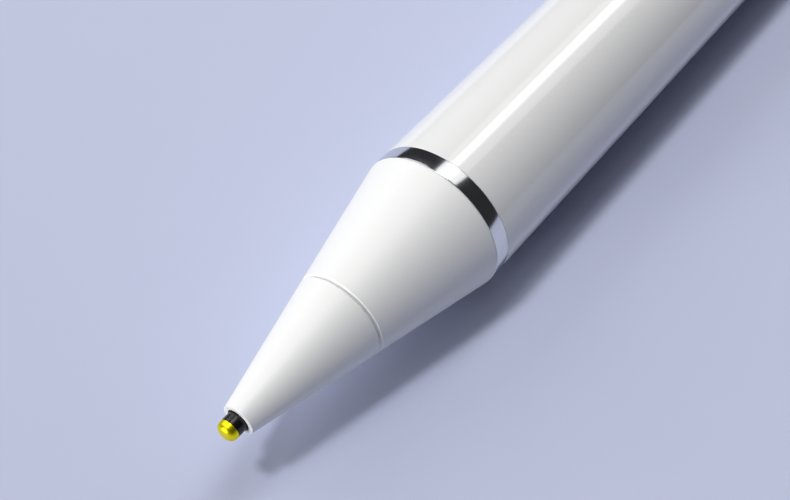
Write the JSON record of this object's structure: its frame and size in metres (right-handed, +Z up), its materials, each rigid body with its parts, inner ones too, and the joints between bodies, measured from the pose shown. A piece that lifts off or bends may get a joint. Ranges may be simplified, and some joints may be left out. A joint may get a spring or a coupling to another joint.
{
  "type": "stylus pen",
  "caption": "White round-barrel stylus pen with a chrome ring, a two-piece tapered cone, a fine brass-tipped nib, a pocket clip and a tail button.",
  "frame": {"origin": "on the pen's axis, halfway along the front barrel, where a holder grips it", "axes": "+X along the axis from tip to tail, +Z up as the pen lies on a table with its clip's lug on the table"},
  "size_m": [0.1472, 0.0132, 0.0104],
  "materials": {
    "white_gloss": "gloss white lacquer on an aluminium tube",
    "white_satin": "satin moulded plastic",
    "chrome": "mirror plated",
    "brass": "polished",
    "black_gloss": "smooth moulded plastic",
    "button_grey": "satin moulded plastic",
    "grey_plastic": "moulded plastic",
    "sensor_film": "polyimide film",
    "board_green": "solder mask",
    "chip_black": "moulded epoxy",
    "ferrite": "sintered",
    "capacitor_tan": "fired ceramic",
    "spring_steel": "drawn wire",
    "rubber": "moulded",
    "cell_jacket": "plain printed steel can"
  },
  "bodies": {
    "pen_body": {"front_cone": "white_satin", "trim_ring": "chrome", "front_barrel": "white_gloss", "nib_spring": "spring_steel", "sensor_holder": "grey_plastic", "force_sensor": "sensor_film", "sensor_backing": "grey_plastic", "circuit_board": "board_green", "board_carrier": "grey_plastic", "control_chip": "chip_black", "drive_coil": "ferrite", "board_capacitors": "capacitor_tan", "carrier_screws": "spring_steel", "contact_block": "grey_plastic", "positive_contact": "brass", "joiner": "brass", "joint_seal": "rubber", "nose_seal": "rubber", "battery_can": "cell_jacket", "battery_terminal": "spring_steel"},
    "nib": {"nib_tip": "brass", "nib_shaft": "black_gloss", "nib_plunger": "brass"},
    "nose": {"nose_sleeve": "white_satin"},
    "tail_section": {"rear_barrel": "white_gloss", "battery_spring": "spring_steel", "spring_plate": "brass", "tail_switch": "chip_black", "button_spring": "spring_steel", "tail_cap": "white_gloss", "clip_collar": "chrome", "clip_pin": "spring_steel", "clip_spring": "spring_steel"},
    "button": {"tail_button": "button_grey", "switch_plunger": "grey_plastic"},
    "clip": {"clip_arm": "chrome"}
  },
  "joints": [
    {"name": "nib_press", "type": "slide", "parent": "pen_body", "child": "nib", "axis": [1, 0, 0], "range_m": [0, 0.0005], "stiffness_N_per_m": 2000, "deforming": ["nib_spring"]},
    {"name": "nose_unscrew", "type": "slide", "parent": "pen_body", "child": "nose", "axis": [-1, 0, 0], "range_m": [0, 0.01156]},
    {"name": "tail_unscrew", "type": "slide", "parent": "pen_body", "child": "tail_section", "axis": [1, 0, 0], "range_m": [0, 0.05045]},
    {"name": "button_press", "type": "slide", "parent": "tail_section", "child": "button", "axis": [-1, 0, 0], "range_m": [0, 0.0007], "stiffness_N_per_m": 1500, "deforming": ["button_spring"]},
    {"name": "clip_lift", "type": "hinge", "parent": "tail_section", "child": "clip", "pos_m": [0.08925, -0.00606, -0.00261], "axis": [0, -0.3955, 0.9184], "range_deg": [0, 4], "stiffness_Nm_per_rad": 0.6}
  ]
}
